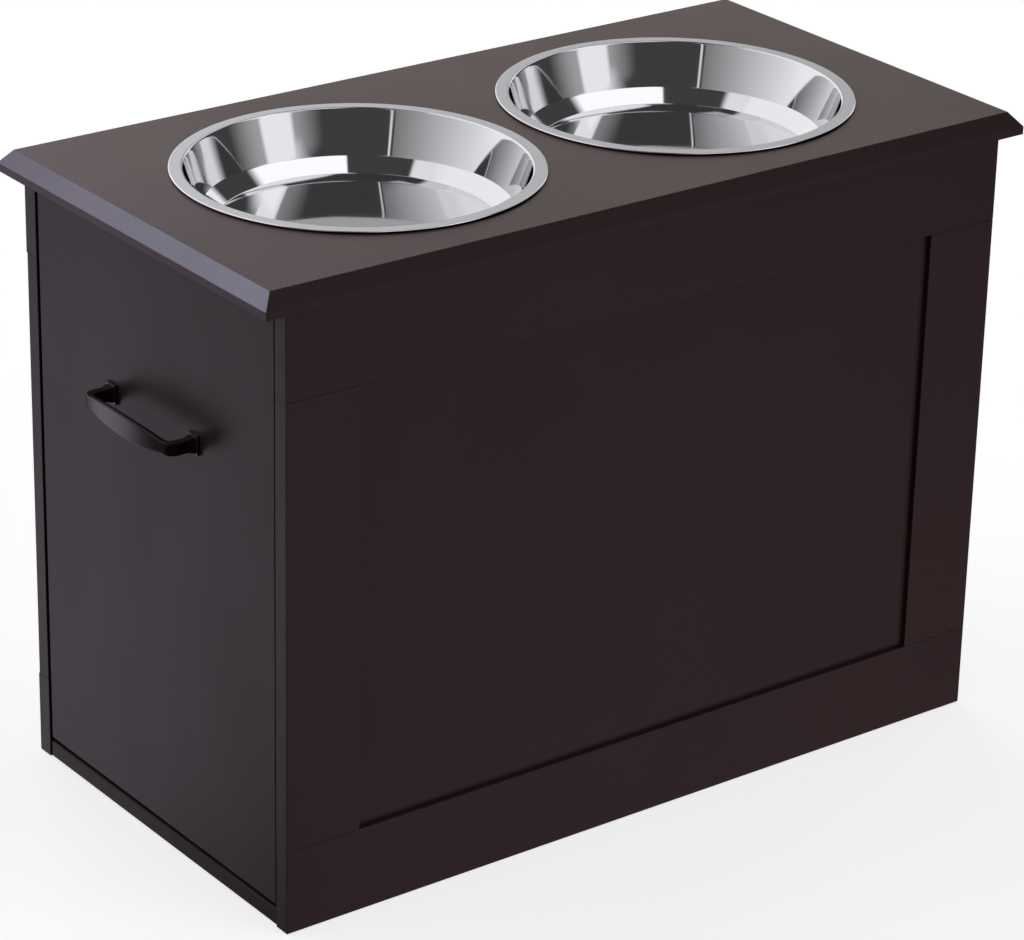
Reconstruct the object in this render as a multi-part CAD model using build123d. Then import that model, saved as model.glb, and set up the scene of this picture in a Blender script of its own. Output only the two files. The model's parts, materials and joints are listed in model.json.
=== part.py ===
from build123d import *
import os

os.makedirs("parts", exist_ok=True)

# Elevated dog feeder with a storage drawer: a cabinet of dark painted boards whose top board
# holds two stainless steel bowls, and whose left end is the front of a full-length drawer.
# Millimetres.  +X is right, away from the drawer front.  -Y is the front.  +Z is up.
# The origin is the centre of the underside, on the floor.

# ---- Top board ----
TOP_LENGTH = 600.0
TOP_DEPTH = 310.0
TOP_THICKNESS = 15.0
TOTAL_HEIGHT = 434.0
BEVEL_RUN = 8.0
BEVEL_DROP = 9.5
END_OVERHANG = 17.0
SIDE_OVERHANG = 5.0
TOP_EDGE_ROUND = 0.4

# ---- Cabinet boards ----
BOARD = 12.0
LOWER_RAIL_HEIGHT = 58.0
UPPER_RAIL_HEIGHT = 58.0
STILE_WIDTH = 55.0
BACK_RAIL_PROUD = 1.0
PANEL_THICKNESS = 6.0
PANEL_RECESS = 4.0
PANEL_LAP = 8.0
PANEL_PLAY = 0.5
EDGE_ROUND = 0.5
BASE_THICKNESS = 12.0
BASE_EDGE_ROUND = 1.5
END_RECESS = 0.8
CLEAT_WIDTH = 18.0
CLEAT_HEIGHT = 18.0
CLEAT_END_SPACE = 14.0

# ---- Bowls ----
BOWL_SPACING = 256.0
RIM_RADIUS = 120.0
RIM_HEIGHT = 1.6
RIM_ROUND = 1.0
WALL_TOP_RADIUS = 110.8
WALL_FOOT_RADIUS = 103.0
WALL_DROP = 28.0
FLOOR_RADIUS = 90.5
BOWL_DEPTH = 37.0
BOWL_SHEET = 0.8
SHOULDER_ROUND = 1.4
STEP_ROUND = 1.2
BOWL_HOLE_CLEARANCE = 1.2

# ---- Drawer ----
FRONT_THICKNESS = 12.0
FRONT_SIDE_GAP = 1.8
FRONT_TOP_GAP = 2.0
FRONT_BOTTOM_GAP = 3.0
DRAWER_BOARD = 12.0
DRAWER_SIDE_HEIGHT = 300.0
DRAWER_FLOOR_GAP = 10.0
DRAWER_BOTTOM_THICKNESS = 5.0
DRAWER_BOTTOM_LIFT = 10.0
GROOVE_DEPTH = 5.0
GROOVE_PLAY = 0.2
DRAWER_REAR_SPACE = 40.4

# ---- Roller slides ----
SLIDE_OVERLAP = 120.0
SLIDE_SPACE = 12.5
SLIDE_SHEET = 1.2
SLIDE_FLOOR_GAP = 3.0
SLIDE_FRONT_SPACE = 2.0
CHANNEL_WIDTH = 9.6
DRAWER_FLANGE_SPACE = 3.3
WRAP_WIDTH = 10.0
ROLLER_RADIUS = 8.0
ROLLER_WIDTH = 5.5
ROLLER_SIDE_SPACE = 4.2
ROLLER_END_DISTANCE = 12.0
ROLLER_ROUND = 0.6
ROLL_GAP = 0.05
FREE_GAP = 0.4
PIN_RADIUS = 2.5
PIN_HEAD_RADIUS = 4.0
PIN_HEAD_THICKNESS = 0.8
PIN_CLEARANCE = 0.05
RIVET_CLEARANCE = 0.02
SIDE_PLAY = 0.2
STOP_HEIGHT = 3.0
STOP_THICKNESS = 1.5
STOP_PLAY = 2.0
END_STOP_PLAY = 0.5

# ---- Handle ----
HANDLE_HEIGHT = 299.0
HANDLE_CENTRES = 96.0
HANDLE_PROJECTION = 20.0
HANDLE_BOW = 4.0
STRAP_THICKNESS = 3.2
LEG_THICKNESS = 6.6
LEG_HEIGHT = 8.4
GRIP_HEIGHT = 15.6
GRIP_SHOULDER = 3.0
GRIP_SHOULDER_ROUND = 20.0
HANDLE_CORNER_ROUND = 6.5
HANDLE_EDGE_ROUND = 1.0
FOOT_WIDTH = 12.0
FOOT_HEIGHT = 13.6
FOOT_THICKNESS = 2.0
FOOT_ROUND = 1.5
FOOT_EDGE_ROUND = 0.5
FLARE_LENGTH = 8.0
FLARE_MARGIN = 1.0
FLARE_SINK = 0.3
FLARE_ROUND = 1.4
HANDLE_THREAD_DEPTH = 9.0

# ---- Fasteners ----
DOWEL_RADIUS = 3.0
DOWEL_LENGTH = 30.0
BASE_DOWEL_LENGTH = 20.0
BASE_DOWEL_DEPTH = 8.0
BASE_DOWEL_INSET = 55.0
DOWEL_CHAMFER = 0.8
HOLE_CLEARANCE = 0.05
CAM_RADIUS = 7.5
CAM_THICKNESS = 9.0
CAM_SET_BACK = 24.0
CAM_FACE_DEPTH = 0.5
CAM_PLAY = 0.2
CAM_SLOT_WIDTH = 1.4
CAM_SLOT_LENGTH = 9.0
CAM_SLOT_DEPTH = 1.6
CAM_BOLT_RADIUS = 2.5
CAM_BOLT_HEAD_RADIUS = 3.2
CAM_BOLT_HEAD_LENGTH = 3.5
CAM_BOLT_THREAD_LENGTH = 9.0
CAM_BOLT_BORE_RADIUS = 3.5
BASE_CAM_INSET = 60.0
END_CAM_INSET = 40.0
DRAWER_CAM_INSET = 45.0
SCREW_RADIUS = 1.75
SCREW_HEAD_RADIUS = 3.5
PAN_HEAD_HEIGHT = 1.6
PAN_HEAD_ROUND = 0.7
SCREW_TIP_CHAMFER = 1.0
CROSS_WIDTH = 0.9
CROSS_LENGTH = 3.6
CROSS_DEPTH = 1.0
CLEAT_SCREW_LENGTH = 27.0
CLEAT_SCREW_INSET = 40.0
CLEAT_SCREW_SHIFT = 20.0
SLIDE_SCREW_LENGTH = 10.0
SLIDE_SCREW_INSET = 60.0
BOX_SCREW_LENGTH = 35.0
BOX_SCREW_INSET = 30.0
HANDLE_SCREW_RADIUS = 2.0
HANDLE_SCREW_HEAD_RADIUS = 4.0
HANDLE_SCREW_HEAD_HEIGHT = 2.4

# ---- Places worked out from the sizes above ----
BODY_LENGTH = TOP_LENGTH - 2 * END_OVERHANG
BODY_DEPTH = TOP_DEPTH - 2 * SIDE_OVERHANG
BODY_TOP = TOTAL_HEIGHT - TOP_THICKNESS
LEFT_END = -BODY_LENGTH / 2
RIGHT_END = BODY_LENGTH / 2
INSIDE_Y = BODY_DEPTH / 2 - BOARD
FRAME_Y = BODY_DEPTH / 2 - BOARD / 2
UPPER_RAIL_BOTTOM = BODY_TOP - UPPER_RAIL_HEIGHT
FRONT_FACE_X = LEFT_END + END_RECESS
FRONT_BACK_X = FRONT_FACE_X + FRONT_THICKNESS
END_PANEL_OUTER_X = RIGHT_END - END_RECESS
END_PANEL_INNER_X = END_PANEL_OUTER_X - BOARD
END_PANEL_MID_X = (END_PANEL_OUTER_X + END_PANEL_INNER_X) / 2
DRAWER_SIDE_Y = INSIDE_Y - SLIDE_SPACE
DRAWER_INSIDE_Y = DRAWER_SIDE_Y - DRAWER_BOARD
DRAWER_MID_Y = (DRAWER_SIDE_Y + DRAWER_INSIDE_Y) / 2
SLIDE_LENGTH = END_PANEL_INNER_X - FRONT_BACK_X - DRAWER_REAR_SPACE
DRAWER_TRAVEL = SLIDE_LENGTH - SLIDE_OVERLAP
DRAWER_REAR_X = FRONT_BACK_X + SLIDE_LENGTH
DRAWER_BOTTOM_Z = BASE_THICKNESS + DRAWER_FLOOR_GAP
DRAWER_TOP_Z = DRAWER_BOTTOM_Z + DRAWER_SIDE_HEIGHT
BOTTOM_PANEL_Z = DRAWER_BOTTOM_Z + DRAWER_BOTTOM_LIFT
SIDES = {"front": -1, "back": 1}
ENDS = {"left": -1, "right": 1}


# ---- Shapes that repeat ----
def block(x, y, z):
    """Box between two limits along each axis, each given as (low, high) in either order."""
    size = Box(abs(x[1] - x[0]), abs(y[1] - y[0]), abs(z[1] - z[0]))
    return Pos((x[0] + x[1]) / 2, (y[0] + y[1]) / 2, (z[0] + z[1]) / 2) * size


def rod(start, end, radius):
    """Cylinder between two points on a line along one axis."""
    start, end = Vector(*start), Vector(*end)
    length = (end - start).length
    plane = Plane(origin=start, z_dir=(end - start).normalized())
    return plane * Cylinder(radius, length, align=(Align.CENTER, Align.CENTER, Align.MIN))


def eased(solid, radius):
    """The solid with every edge rounded."""
    return fillet(solid.edges(), radius)


def without(solid, cuts):
    """The solid less each cut."""
    for cut in cuts:
        solid = solid - cut
    return solid


def along(start, direction, distance):
    """The point at a distance from start."""
    return tuple(a + b * distance for a, b in zip(start, direction))


def frame_at(point, direction, sideways):
    """Placement whose Z runs along direction and whose X runs sideways, at the point."""
    return Plane(origin=point, x_dir=sideways, z_dir=direction)


def screw_frame(seat, direction):
    """Placement at a screw's seat, with Z along its shank."""
    return frame_at(seat, direction, (1, 0, 0) if direction[2] else (0, 0, 1))


def pan_screw(head_seat, direction, length, radius=SCREW_RADIUS, head_radius=SCREW_HEAD_RADIUS,
              head_height=PAN_HEAD_HEIGHT):
    """Screw with a low round head on head_seat and its shank running along direction."""
    place = screw_frame(head_seat, direction)
    up = (Align.CENTER, Align.CENTER, Align.MIN)
    down = (Align.CENTER, Align.CENTER, Align.MAX)
    head = Cylinder(head_radius, head_height, align=down)
    rim = head.edges().filter_by(GeomType.CIRCLE).sort_by(Axis.Z)[0]
    head = fillet(rim, PAN_HEAD_ROUND)
    shank = chamfer(Cylinder(radius, length, align=up).edges().sort_by(Axis.Z)[-1], SCREW_TIP_CHAMFER)
    cross = Pos(0, 0, -head_height) * Box(CROSS_LENGTH, CROSS_WIDTH, 2 * CROSS_DEPTH)
    return place * (head + shank - cross - Rot(0, 0, 90) * cross)


def flush_screw(head_face, direction, length):
    """Screw with a cone head whose flat top lies at head_face."""
    up = (Align.CENTER, Align.CENTER, Align.MIN)
    cone_height = SCREW_HEAD_RADIUS - SCREW_RADIUS
    cone = Cone(SCREW_HEAD_RADIUS, SCREW_RADIUS, cone_height, align=up)
    shank = chamfer(Cylinder(SCREW_RADIUS, length, align=up).edges().sort_by(Axis.Z)[-1],
                    SCREW_TIP_CHAMFER)
    cross = Box(CROSS_LENGTH, CROSS_WIDTH, 2 * CROSS_DEPTH)
    return screw_frame(head_face, direction) * (cone + shank - cross - Rot(0, 0, 90) * cross)


def flush_screw_hole(head_face, direction, length):
    """Countersunk hole for flush_screw."""
    up = (Align.CENTER, Align.CENTER, Align.MIN)
    cone_height = SCREW_HEAD_RADIUS - SCREW_RADIUS
    cone = Cone(SCREW_HEAD_RADIUS + HOLE_CLEARANCE, SCREW_RADIUS + HOLE_CLEARANCE, cone_height, align=up)
    shank = Cylinder(SCREW_RADIUS + HOLE_CLEARANCE, length + HOLE_CLEARANCE, align=up)
    return screw_frame(head_face, direction) * (cone + shank)


def shank_hole(start, direction, length, radius=SCREW_RADIUS):
    """Hole for a straight shank."""
    return rod(start, along(start, direction, length + HOLE_CLEARANCE), radius + HOLE_CLEARANCE)


def dowel(start, direction, length):
    """Wooden dowel with chamfered ends."""
    return chamfer(rod(start, along(start, direction, length), DOWEL_RADIUS).edges()
                   .filter_by(GeomType.CIRCLE), DOWEL_CHAMFER)


def dowel_hole(start, direction, length):
    """Blind hole that a dowel fills, a little deeper at both ends."""
    low = along(start, direction, -HOLE_CLEARANCE)
    return rod(low, along(start, direction, length + HOLE_CLEARANCE), DOWEL_RADIUS + HOLE_CLEARANCE)


class CamJoint:
    """Cam lock that pulls one board's edge against another board's face.

    seam is the point where the bolt crosses the joint, inward runs from there into the board
    that holds the cam, and face_normal points out of that board's face with the cam's slot,
    which lies face_distance from the bolt's axis.
    """

    def __init__(self, seam, inward, face_normal, face_distance):
        self.seam = seam
        self.inward = inward
        self.normal = face_normal
        centre = along(seam, inward, CAM_SET_BACK)
        self.mouth = along(centre, face_normal, face_distance)
        self.cam_face = along(self.mouth, face_normal, -CAM_FACE_DEPTH)
        self.cam_seat = along(self.cam_face, face_normal, -CAM_THICKNESS)

    def cam(self):
        body = rod(self.cam_face, self.cam_seat, CAM_RADIUS)
        back = tuple(-n for n in self.normal)
        slot = frame_at(self.cam_face, back, self.inward) * Box(CAM_SLOT_LENGTH, CAM_SLOT_WIDTH,
                                                               2 * CAM_SLOT_DEPTH)
        return without(body, [slot, self.bolt_bore()])

    def bolt(self):
        thread_end = along(self.seam, self.inward, -CAM_BOLT_THREAD_LENGTH)
        head_start = along(self.seam, self.inward, CAM_SET_BACK - CAM_BOLT_HEAD_LENGTH)
        head_end = along(self.seam, self.inward, CAM_SET_BACK)
        shank = rod(thread_end, head_start, CAM_BOLT_RADIUS)
        return shank + rod(head_start, head_end, CAM_BOLT_HEAD_RADIUS)

    def bolt_bore(self):
        end = along(self.seam, self.inward, CAM_SET_BACK + CAM_PLAY)
        return rod(self.seam, end, CAM_BOLT_BORE_RADIUS)

    def pocket(self):
        return rod(self.mouth, self.cam_seat, CAM_RADIUS + CAM_PLAY)

    def thread_hole(self):
        end = along(self.seam, self.inward, -CAM_BOLT_THREAD_LENGTH - HOLE_CLEARANCE)
        return rod(self.seam, end, CAM_BOLT_RADIUS + HOLE_CLEARANCE)


# ---- Joints of the cabinet ----
BASE_CAM_X = [LEFT_END + BASE_CAM_INSET, 0, RIGHT_END - BASE_CAM_INSET]
base_cams = {
    side: [CamJoint((x, s * INSIDE_Y, BASE_THICKNESS / 2), (0, -s, 0), (0, 0, -1), BASE_THICKNESS / 2)
           for x in BASE_CAM_X]
    for side, s in SIDES.items()
}
END_CAM_Z = [LOWER_RAIL_HEIGHT + END_CAM_INSET, UPPER_RAIL_BOTTOM - END_CAM_INSET]
end_cams = {
    side: [CamJoint((END_PANEL_MID_X, s * INSIDE_Y, z), (0, -s, 0), (-1, 0, 0), BOARD / 2)
           for z in END_CAM_Z]
    for side, s in SIDES.items()
}
STILE_DOWEL_X = RIGHT_END - STILE_WIDTH / 2
frame_dowels = {
    side: [((e * STILE_DOWEL_X, s * FRAME_Y, seam - DOWEL_LENGTH / 2), (0, 0, 1), DOWEL_LENGTH)
           for e in ENDS.values() for seam in (LOWER_RAIL_HEIGHT, UPPER_RAIL_BOTTOM)]
    for side, s in SIDES.items()
}
base_dowels = [
    ((END_PANEL_MID_X, s * (INSIDE_Y - BASE_DOWEL_INSET), BASE_THICKNESS - BASE_DOWEL_DEPTH),
     (0, 0, 1), BASE_DOWEL_LENGTH)
    for s in SIDES.values()
]

CLEAT_X = (FRONT_BACK_X + CLEAT_END_SPACE, END_PANEL_INNER_X - CLEAT_END_SPACE)
CLEAT_INNER_Y = INSIDE_Y - CLEAT_WIDTH
CLEAT_MID_Y = INSIDE_Y - CLEAT_WIDTH / 2
CLEAT_BOTTOM_Z = BODY_TOP - CLEAT_HEIGHT
CLEAT_SCREW_X = [CLEAT_X[0] + CLEAT_SCREW_INSET, 0, CLEAT_X[1] - CLEAT_SCREW_INSET]
top_screws = {
    side: [((x, s * CLEAT_MID_Y, CLEAT_BOTTOM_Z), (0, 0, 1)) for x in CLEAT_SCREW_X]
    for side, s in SIDES.items()
}
rail_screws = {
    side: [((x + CLEAT_SCREW_SHIFT, s * CLEAT_INNER_Y, BODY_TOP - CLEAT_HEIGHT / 2), (0, s, 0))
           for x in CLEAT_SCREW_X]
    for side, s in SIDES.items()
}


# ---- Top board and bowls ----
def top_board():
    flat_edge = TOP_THICKNESS - BEVEL_DROP
    lower = extrude(Rectangle(TOP_LENGTH, TOP_DEPTH), flat_edge)
    upper = loft([
        Pos(0, 0, flat_edge) * Rectangle(TOP_LENGTH, TOP_DEPTH),
        Pos(0, 0, TOP_THICKNESS) * Rectangle(TOP_LENGTH - 2 * BEVEL_RUN, TOP_DEPTH - 2 * BEVEL_RUN),
    ])
    board = Pos(0, 0, BODY_TOP) * eased(lower + upper, TOP_EDGE_ROUND)
    hole_radius = WALL_TOP_RADIUS + BOWL_SHEET + BOWL_HOLE_CLEARANCE
    holes = [rod((e * BOWL_SPACING / 2, 0, BODY_TOP), (e * BOWL_SPACING / 2, 0, TOTAL_HEIGHT), hole_radius)
             for e in ENDS.values()]
    screws = [shank_hole(start, direction, CLEAT_SCREW_LENGTH)
              for side in SIDES for start, direction in top_screws[side]]
    return without(board, holes + screws)


def bowl(centre_x):
    """Pressed bowl in one sheet thickness: flat floor, sloped step, steep wall and turned-down rim."""
    surface = FilletPolyline(
        (0, -BOWL_DEPTH),
        (FLOOR_RADIUS, -BOWL_DEPTH),
        (WALL_FOOT_RADIUS, -WALL_DROP),
        (WALL_TOP_RADIUS, RIM_HEIGHT),
        (RIM_RADIUS, RIM_HEIGHT),
        (RIM_RADIUS, 0),
        radius=[STEP_ROUND, STEP_ROUND, SHOULDER_ROUND, RIM_ROUND],
    )
    section = make_face(offset(surface, BOWL_SHEET, side=Side.RIGHT))
    solid = revolve(Plane.XZ * section, Axis.Z, 360)
    return Pos(centre_x, 0, TOTAL_HEIGHT) * solid


# ---- Cabinet walls ----
def rail(side, z, base_joint):
    """Full-length board of a wall; its edge next to the panel is rebated from the inside."""
    s = SIDES[side]
    proud = BACK_RAIL_PROUD if side == "back" else 0
    outer = s * (BODY_DEPTH / 2 + proud)
    board = eased(block((LEFT_END, RIGHT_END), (s * INSIDE_Y, outer), z), EDGE_ROUND)
    lap = PANEL_LAP + PANEL_PLAY
    panel_edge = z[1] if base_joint else z[0]
    rebate_end = panel_edge - lap if base_joint else panel_edge + lap
    reach = RIGHT_END - STILE_WIDTH + lap
    rebate = block((-reach, reach), (s * INSIDE_Y, s * (BODY_DEPTH / 2 - PANEL_RECESS)),
                   (panel_edge, rebate_end))
    cuts = [rebate] + [dowel_hole(*place) for place in frame_dowels[side]]
    if base_joint:
        cuts += [joint.thread_hole() for joint in base_cams[side]]
        cuts += [shank_hole(start, direction, SLIDE_SCREW_LENGTH)
                 for start, direction in cabinet_slide_screw_places(side)]
    else:
        cuts += [shank_hole(start, direction, CLEAT_SCREW_LENGTH)
                 for start, direction in rail_screws[side]]
    return without(board, cuts)


def stile(side, end):
    """Upright between the rails, rebated along the edge next to the panel."""
    s, e = SIDES[side], ENDS[end]
    outer_x = e * BODY_LENGTH / 2
    inner_x = e * (BODY_LENGTH / 2 - STILE_WIDTH)
    z = (LOWER_RAIL_HEIGHT, UPPER_RAIL_BOTTOM)
    board = eased(block((outer_x, inner_x), (s * INSIDE_Y, s * BODY_DEPTH / 2), z), EDGE_ROUND)
    rebate = block((inner_x, inner_x + e * (PANEL_LAP + PANEL_PLAY)),
                   (s * INSIDE_Y, s * (BODY_DEPTH / 2 - PANEL_RECESS)), z)
    cuts = [rebate] + [dowel_hole(*place) for place in frame_dowels[side]]
    if end == "right":
        cuts += [joint.thread_hole() for joint in end_cams[side]]
    return without(board, cuts)


def panel(side):
    """Thin panel seated in the rebates of the rails and stiles."""
    s = SIDES[side]
    reach = RIGHT_END - STILE_WIDTH + PANEL_LAP
    face = BODY_DEPTH / 2 - PANEL_RECESS
    return block((-reach, reach), (s * face, s * (face - PANEL_THICKNESS)),
                 (LOWER_RAIL_HEIGHT - PANEL_LAP, UPPER_RAIL_BOTTOM + PANEL_LAP))


def bottom_board():
    board = eased(block((FRONT_FACE_X, END_PANEL_OUTER_X), (-INSIDE_Y, INSIDE_Y), (0, BASE_THICKNESS)),
                  BASE_EDGE_ROUND)
    joints = [joint for side in SIDES for joint in base_cams[side]]
    cuts = [joint.pocket() for joint in joints] + [joint.bolt_bore() for joint in joints]
    return without(board, cuts + [dowel_hole(*place) for place in base_dowels])


def end_panel():
    board = eased(block((END_PANEL_INNER_X, END_PANEL_OUTER_X), (-INSIDE_Y, INSIDE_Y),
                        (BASE_THICKNESS, BODY_TOP)), EDGE_ROUND)
    joints = [joint for side in SIDES for joint in end_cams[side]]
    cuts = [joint.pocket() for joint in joints] + [joint.bolt_bore() for joint in joints]
    return without(board, cuts + [dowel_hole(*place) for place in base_dowels])


def top_cleat(side):
    """Batten that ties the top board to the upper rail."""
    s = SIDES[side]
    board = eased(block(CLEAT_X, (s * CLEAT_INNER_Y, s * INSIDE_Y), (CLEAT_BOTTOM_Z, BODY_TOP)), EDGE_ROUND)
    return without(board, [shank_hole(start, direction, CLEAT_SCREW_LENGTH)
                           for start, direction in top_screws[side] + rail_screws[side]])


# ---- Roller slides ----
TRACK_Z = BASE_THICKNESS + SLIDE_FLOOR_GAP + SLIDE_SHEET
DRAWER_ROLLER_Z = TRACK_Z + ROLL_GAP + ROLLER_RADIUS
FLANGE_Z = DRAWER_ROLLER_Z + ROLLER_RADIUS + FREE_GAP
FIXED_ROLLER_Z = FLANGE_Z - ROLL_GAP - ROLLER_RADIUS
CHANNEL_TOP_Z = FLANGE_Z + SLIDE_SHEET + FREE_GAP
SLIDE_X = (FRONT_BACK_X + SLIDE_FRONT_SPACE, FRONT_BACK_X + SLIDE_FRONT_SPACE + SLIDE_LENGTH)
FIXED_ROLLER_X = SLIDE_X[0] + ROLLER_END_DISTANCE
DRAWER_ROLLER_X = DRAWER_REAR_X - ROLLER_END_DISTANCE
SLIDE_SCREW_X = [SLIDE_X[0] + SLIDE_SCREW_INSET, sum(SLIDE_X) / 2, SLIDE_X[1] - SLIDE_SCREW_INSET]
STOP_X = DRAWER_ROLLER_X - DRAWER_TRAVEL - ROLLER_RADIUS - STOP_PLAY


def slide_y(side, distance):
    """Y at a distance from the inside of a wall, measured towards the drawer."""
    return SIDES[side] * (INSIDE_Y - distance)


def sheet_hole(start, direction):
    """Screw hole through a slide's sheet, cut a little past both faces."""
    return shank_hole(along(start, direction, -HOLE_CLEARANCE), direction, SLIDE_SHEET + HOLE_CLEARANCE)


def cabinet_slide_screw_places(side):
    z = (TRACK_Z + CHANNEL_TOP_Z) / 2
    return [((x, slide_y(side, SLIDE_SHEET), z), (0, SIDES[side], 0)) for x in SLIDE_SCREW_X]


def drawer_slide_screw_places(side):
    z = DRAWER_BOTTOM_Z - SLIDE_SHEET
    return [((x, SIDES[side] * DRAWER_MID_Y, z), (0, 0, 1)) for x in SLIDE_SCREW_X]


def cabinet_slide(side):
    """Channel screwed to the lower rail: web, two flanges, a stop for the drawer's roller, an end stop."""
    web = block(SLIDE_X, (slide_y(side, 0), slide_y(side, SLIDE_SHEET)),
                (TRACK_Z - SLIDE_SHEET, CHANNEL_TOP_Z + SLIDE_SHEET))
    width = (slide_y(side, 0), slide_y(side, CHANNEL_WIDTH))
    floor = block(SLIDE_X, width, (TRACK_Z - SLIDE_SHEET, TRACK_Z))
    roof = block(SLIDE_X, width, (CHANNEL_TOP_Z, CHANNEL_TOP_Z + SLIDE_SHEET))
    stop = block((STOP_X - STOP_THICKNESS, STOP_X), width, (TRACK_Z - SLIDE_SHEET, TRACK_Z + STOP_HEIGHT))
    end_x = DRAWER_REAR_X + END_STOP_PLAY
    end_stop = block((end_x, end_x + SLIDE_SHEET), width,
                     (TRACK_Z - SLIDE_SHEET, CHANNEL_TOP_Z + SLIDE_SHEET))
    rivet = shank_hole((FIXED_ROLLER_X, slide_y(side, 0), FIXED_ROLLER_Z), (0, -SIDES[side], 0),
                       SLIDE_SHEET, PIN_RADIUS - HOLE_CLEARANCE + RIVET_CLEARANCE)
    screws = [sheet_hole(*place) for place in cabinet_slide_screw_places(side)]
    return without(web + floor + roof + stop + end_stop, [rivet] + screws)


def drawer_slide(side):
    """Folded strip under the drawer's side, with a flange that runs on the cabinet's roller."""
    x = (FRONT_BACK_X, DRAWER_REAR_X)
    web_y = SLIDE_SPACE - SLIDE_SHEET
    web = block(x, (slide_y(side, web_y), slide_y(side, SLIDE_SPACE)),
                (DRAWER_BOTTOM_Z - SLIDE_SHEET, FLANGE_Z + SLIDE_SHEET))
    flange = block(x, (slide_y(side, DRAWER_FLANGE_SPACE), slide_y(side, SLIDE_SPACE)),
                   (FLANGE_Z, FLANGE_Z + SLIDE_SHEET))
    wrap = block(x, (slide_y(side, web_y), slide_y(side, SLIDE_SPACE + WRAP_WIDTH)),
                 (DRAWER_BOTTOM_Z - SLIDE_SHEET, DRAWER_BOTTOM_Z))
    rivet = shank_hole((DRAWER_ROLLER_X, slide_y(side, SLIDE_SPACE), DRAWER_ROLLER_Z), (0, SIDES[side], 0),
                       SLIDE_SHEET, PIN_RADIUS - HOLE_CLEARANCE + RIVET_CLEARANCE)
    screws = [sheet_hole(*place) for place in drawer_slide_screw_places(side)]
    return without(web + flange + wrap, [rivet] + screws)


def roller(side, x, z):
    """Nylon roller with rounded rims and a bore that runs on its pin."""
    near = (x, slide_y(side, ROLLER_SIDE_SPACE), z)
    far = (x, slide_y(side, ROLLER_SIDE_SPACE + ROLLER_WIDTH), z)
    tyre = fillet(rod(near, far, ROLLER_RADIUS).edges().filter_by(GeomType.CIRCLE), ROLLER_ROUND)
    return tyre - rod(near, far, PIN_RADIUS + PIN_CLEARANCE)


def roller_pin(side, x, z, from_wall):
    """Shouldered rivet: fixed in a slide's web, through the roller, with a head on the far side."""
    near, far = ROLLER_SIDE_SPACE, ROLLER_SIDE_SPACE + ROLLER_WIDTH
    if from_wall:
        web_outer, web_inner = 0, SLIDE_SHEET
        shoulder, head = near - SIDE_PLAY, far + SIDE_PLAY
        head_end = head + PIN_HEAD_THICKNESS
    else:
        web_outer, web_inner = SLIDE_SPACE, SLIDE_SPACE - SLIDE_SHEET
        shoulder, head = far + SIDE_PLAY, near - SIDE_PLAY
        head_end = head - PIN_HEAD_THICKNESS

    def piece(start, end, radius):
        return rod((x, slide_y(side, start), z), (x, slide_y(side, end), z), radius)

    return (piece(web_outer, head, PIN_RADIUS) + piece(web_inner, shoulder, PIN_HEAD_RADIUS)
            + piece(head, head_end, PIN_HEAD_RADIUS))


# ---- Drawer ----
DRAWER_CAM_Z = [DRAWER_BOTTOM_Z + DRAWER_CAM_INSET, DRAWER_TOP_Z - DRAWER_CAM_INSET]
drawer_cams = {
    side: [CamJoint((FRONT_BACK_X, s * DRAWER_MID_Y, z), (1, 0, 0), (0, -s, 0), DRAWER_BOARD / 2)
           for z in DRAWER_CAM_Z]
    for side, s in SIDES.items()
}
BOX_SCREW_Z = [DRAWER_BOTTOM_Z + BOX_SCREW_INSET, (DRAWER_BOTTOM_Z + DRAWER_TOP_Z) / 2,
               DRAWER_TOP_Z - BOX_SCREW_INSET]
box_screws = {
    side: [((DRAWER_REAR_X - DRAWER_BOARD / 2, s * DRAWER_SIDE_Y, z), (0, -s, 0)) for z in BOX_SCREW_Z]
    for side, s in SIDES.items()
}
handle_screws = [((FRONT_BACK_X, y, HANDLE_HEIGHT), (-1, 0, 0))
                 for y in (-HANDLE_CENTRES / 2, HANDLE_CENTRES / 2)]
HANDLE_SCREW_LENGTH = FRONT_THICKNESS + HANDLE_THREAD_DEPTH


def bottom_groove():
    """Space that the drawer's bottom panel slides into, on all four sides."""
    half = DRAWER_INSIDE_Y + GROOVE_DEPTH
    return block((FRONT_BACK_X - GROOVE_DEPTH, DRAWER_REAR_X - DRAWER_BOARD + GROOVE_DEPTH), (-half, half),
                 (BOTTOM_PANEL_Z, BOTTOM_PANEL_Z + DRAWER_BOTTOM_THICKNESS + GROOVE_PLAY))


def drawer_front():
    half = INSIDE_Y - FRONT_SIDE_GAP
    board = eased(block((FRONT_FACE_X, FRONT_BACK_X), (-half, half),
                        (BASE_THICKNESS + FRONT_BOTTOM_GAP, BODY_TOP - FRONT_TOP_GAP)), EDGE_ROUND)
    cuts = [bottom_groove()]
    cuts += [joint.thread_hole() for side in SIDES for joint in drawer_cams[side]]
    cuts += [shank_hole(start, direction, HANDLE_SCREW_LENGTH, HANDLE_SCREW_RADIUS)
             for start, direction in handle_screws]
    return without(board, cuts)


def drawer_side(side):
    s = SIDES[side]
    board = eased(block((FRONT_BACK_X, DRAWER_REAR_X), (s * DRAWER_SIDE_Y, s * DRAWER_INSIDE_Y),
                        (DRAWER_BOTTOM_Z, DRAWER_TOP_Z)), EDGE_ROUND)
    cuts = [bottom_groove()]
    cuts += [joint.pocket() for joint in drawer_cams[side]]
    cuts += [joint.bolt_bore() for joint in drawer_cams[side]]
    cuts += [flush_screw_hole(start, direction, BOX_SCREW_LENGTH) for start, direction in box_screws[side]]
    cuts += [shank_hole(start, direction, SLIDE_SCREW_LENGTH)
             for start, direction in drawer_slide_screw_places(side)]
    return without(board, cuts)


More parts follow.
